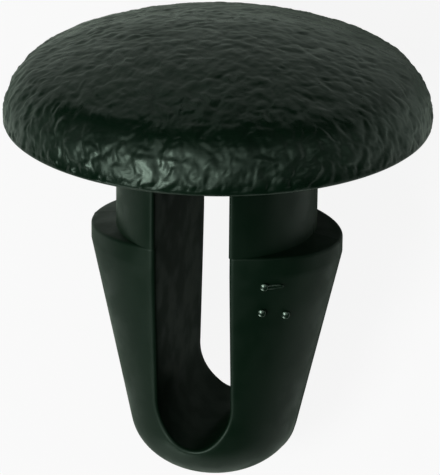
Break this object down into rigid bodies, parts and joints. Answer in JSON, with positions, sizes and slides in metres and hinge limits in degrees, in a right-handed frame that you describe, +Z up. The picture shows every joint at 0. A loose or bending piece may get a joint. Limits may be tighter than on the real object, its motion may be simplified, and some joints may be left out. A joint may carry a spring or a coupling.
{
  "type": "push rivet",
  "caption": "Domed, leather-grained round head on a round neck and a barbed, slotted stem that snaps through a hole in a panel.",
  "frame": {"origin": "middle of the footprint box on the surface that the rivet lies on", "axes": "+Z up; the rivet lies on its side on the lower corner of its head and the side of its nose, its axis 21.4 degrees above the surface, head towards +Y; +X across the two legs; the slot is open upwards"},
  "size_m": [0.017, 0.0192, 0.016],
  "materials": {
    "black_plastic": "near-black moulded plastic, leather grain on the head, smooth satin legs"
  },
  "bodies": {
    "root": {"push_rivet": "black_plastic"}
  },
  "joints": []
}
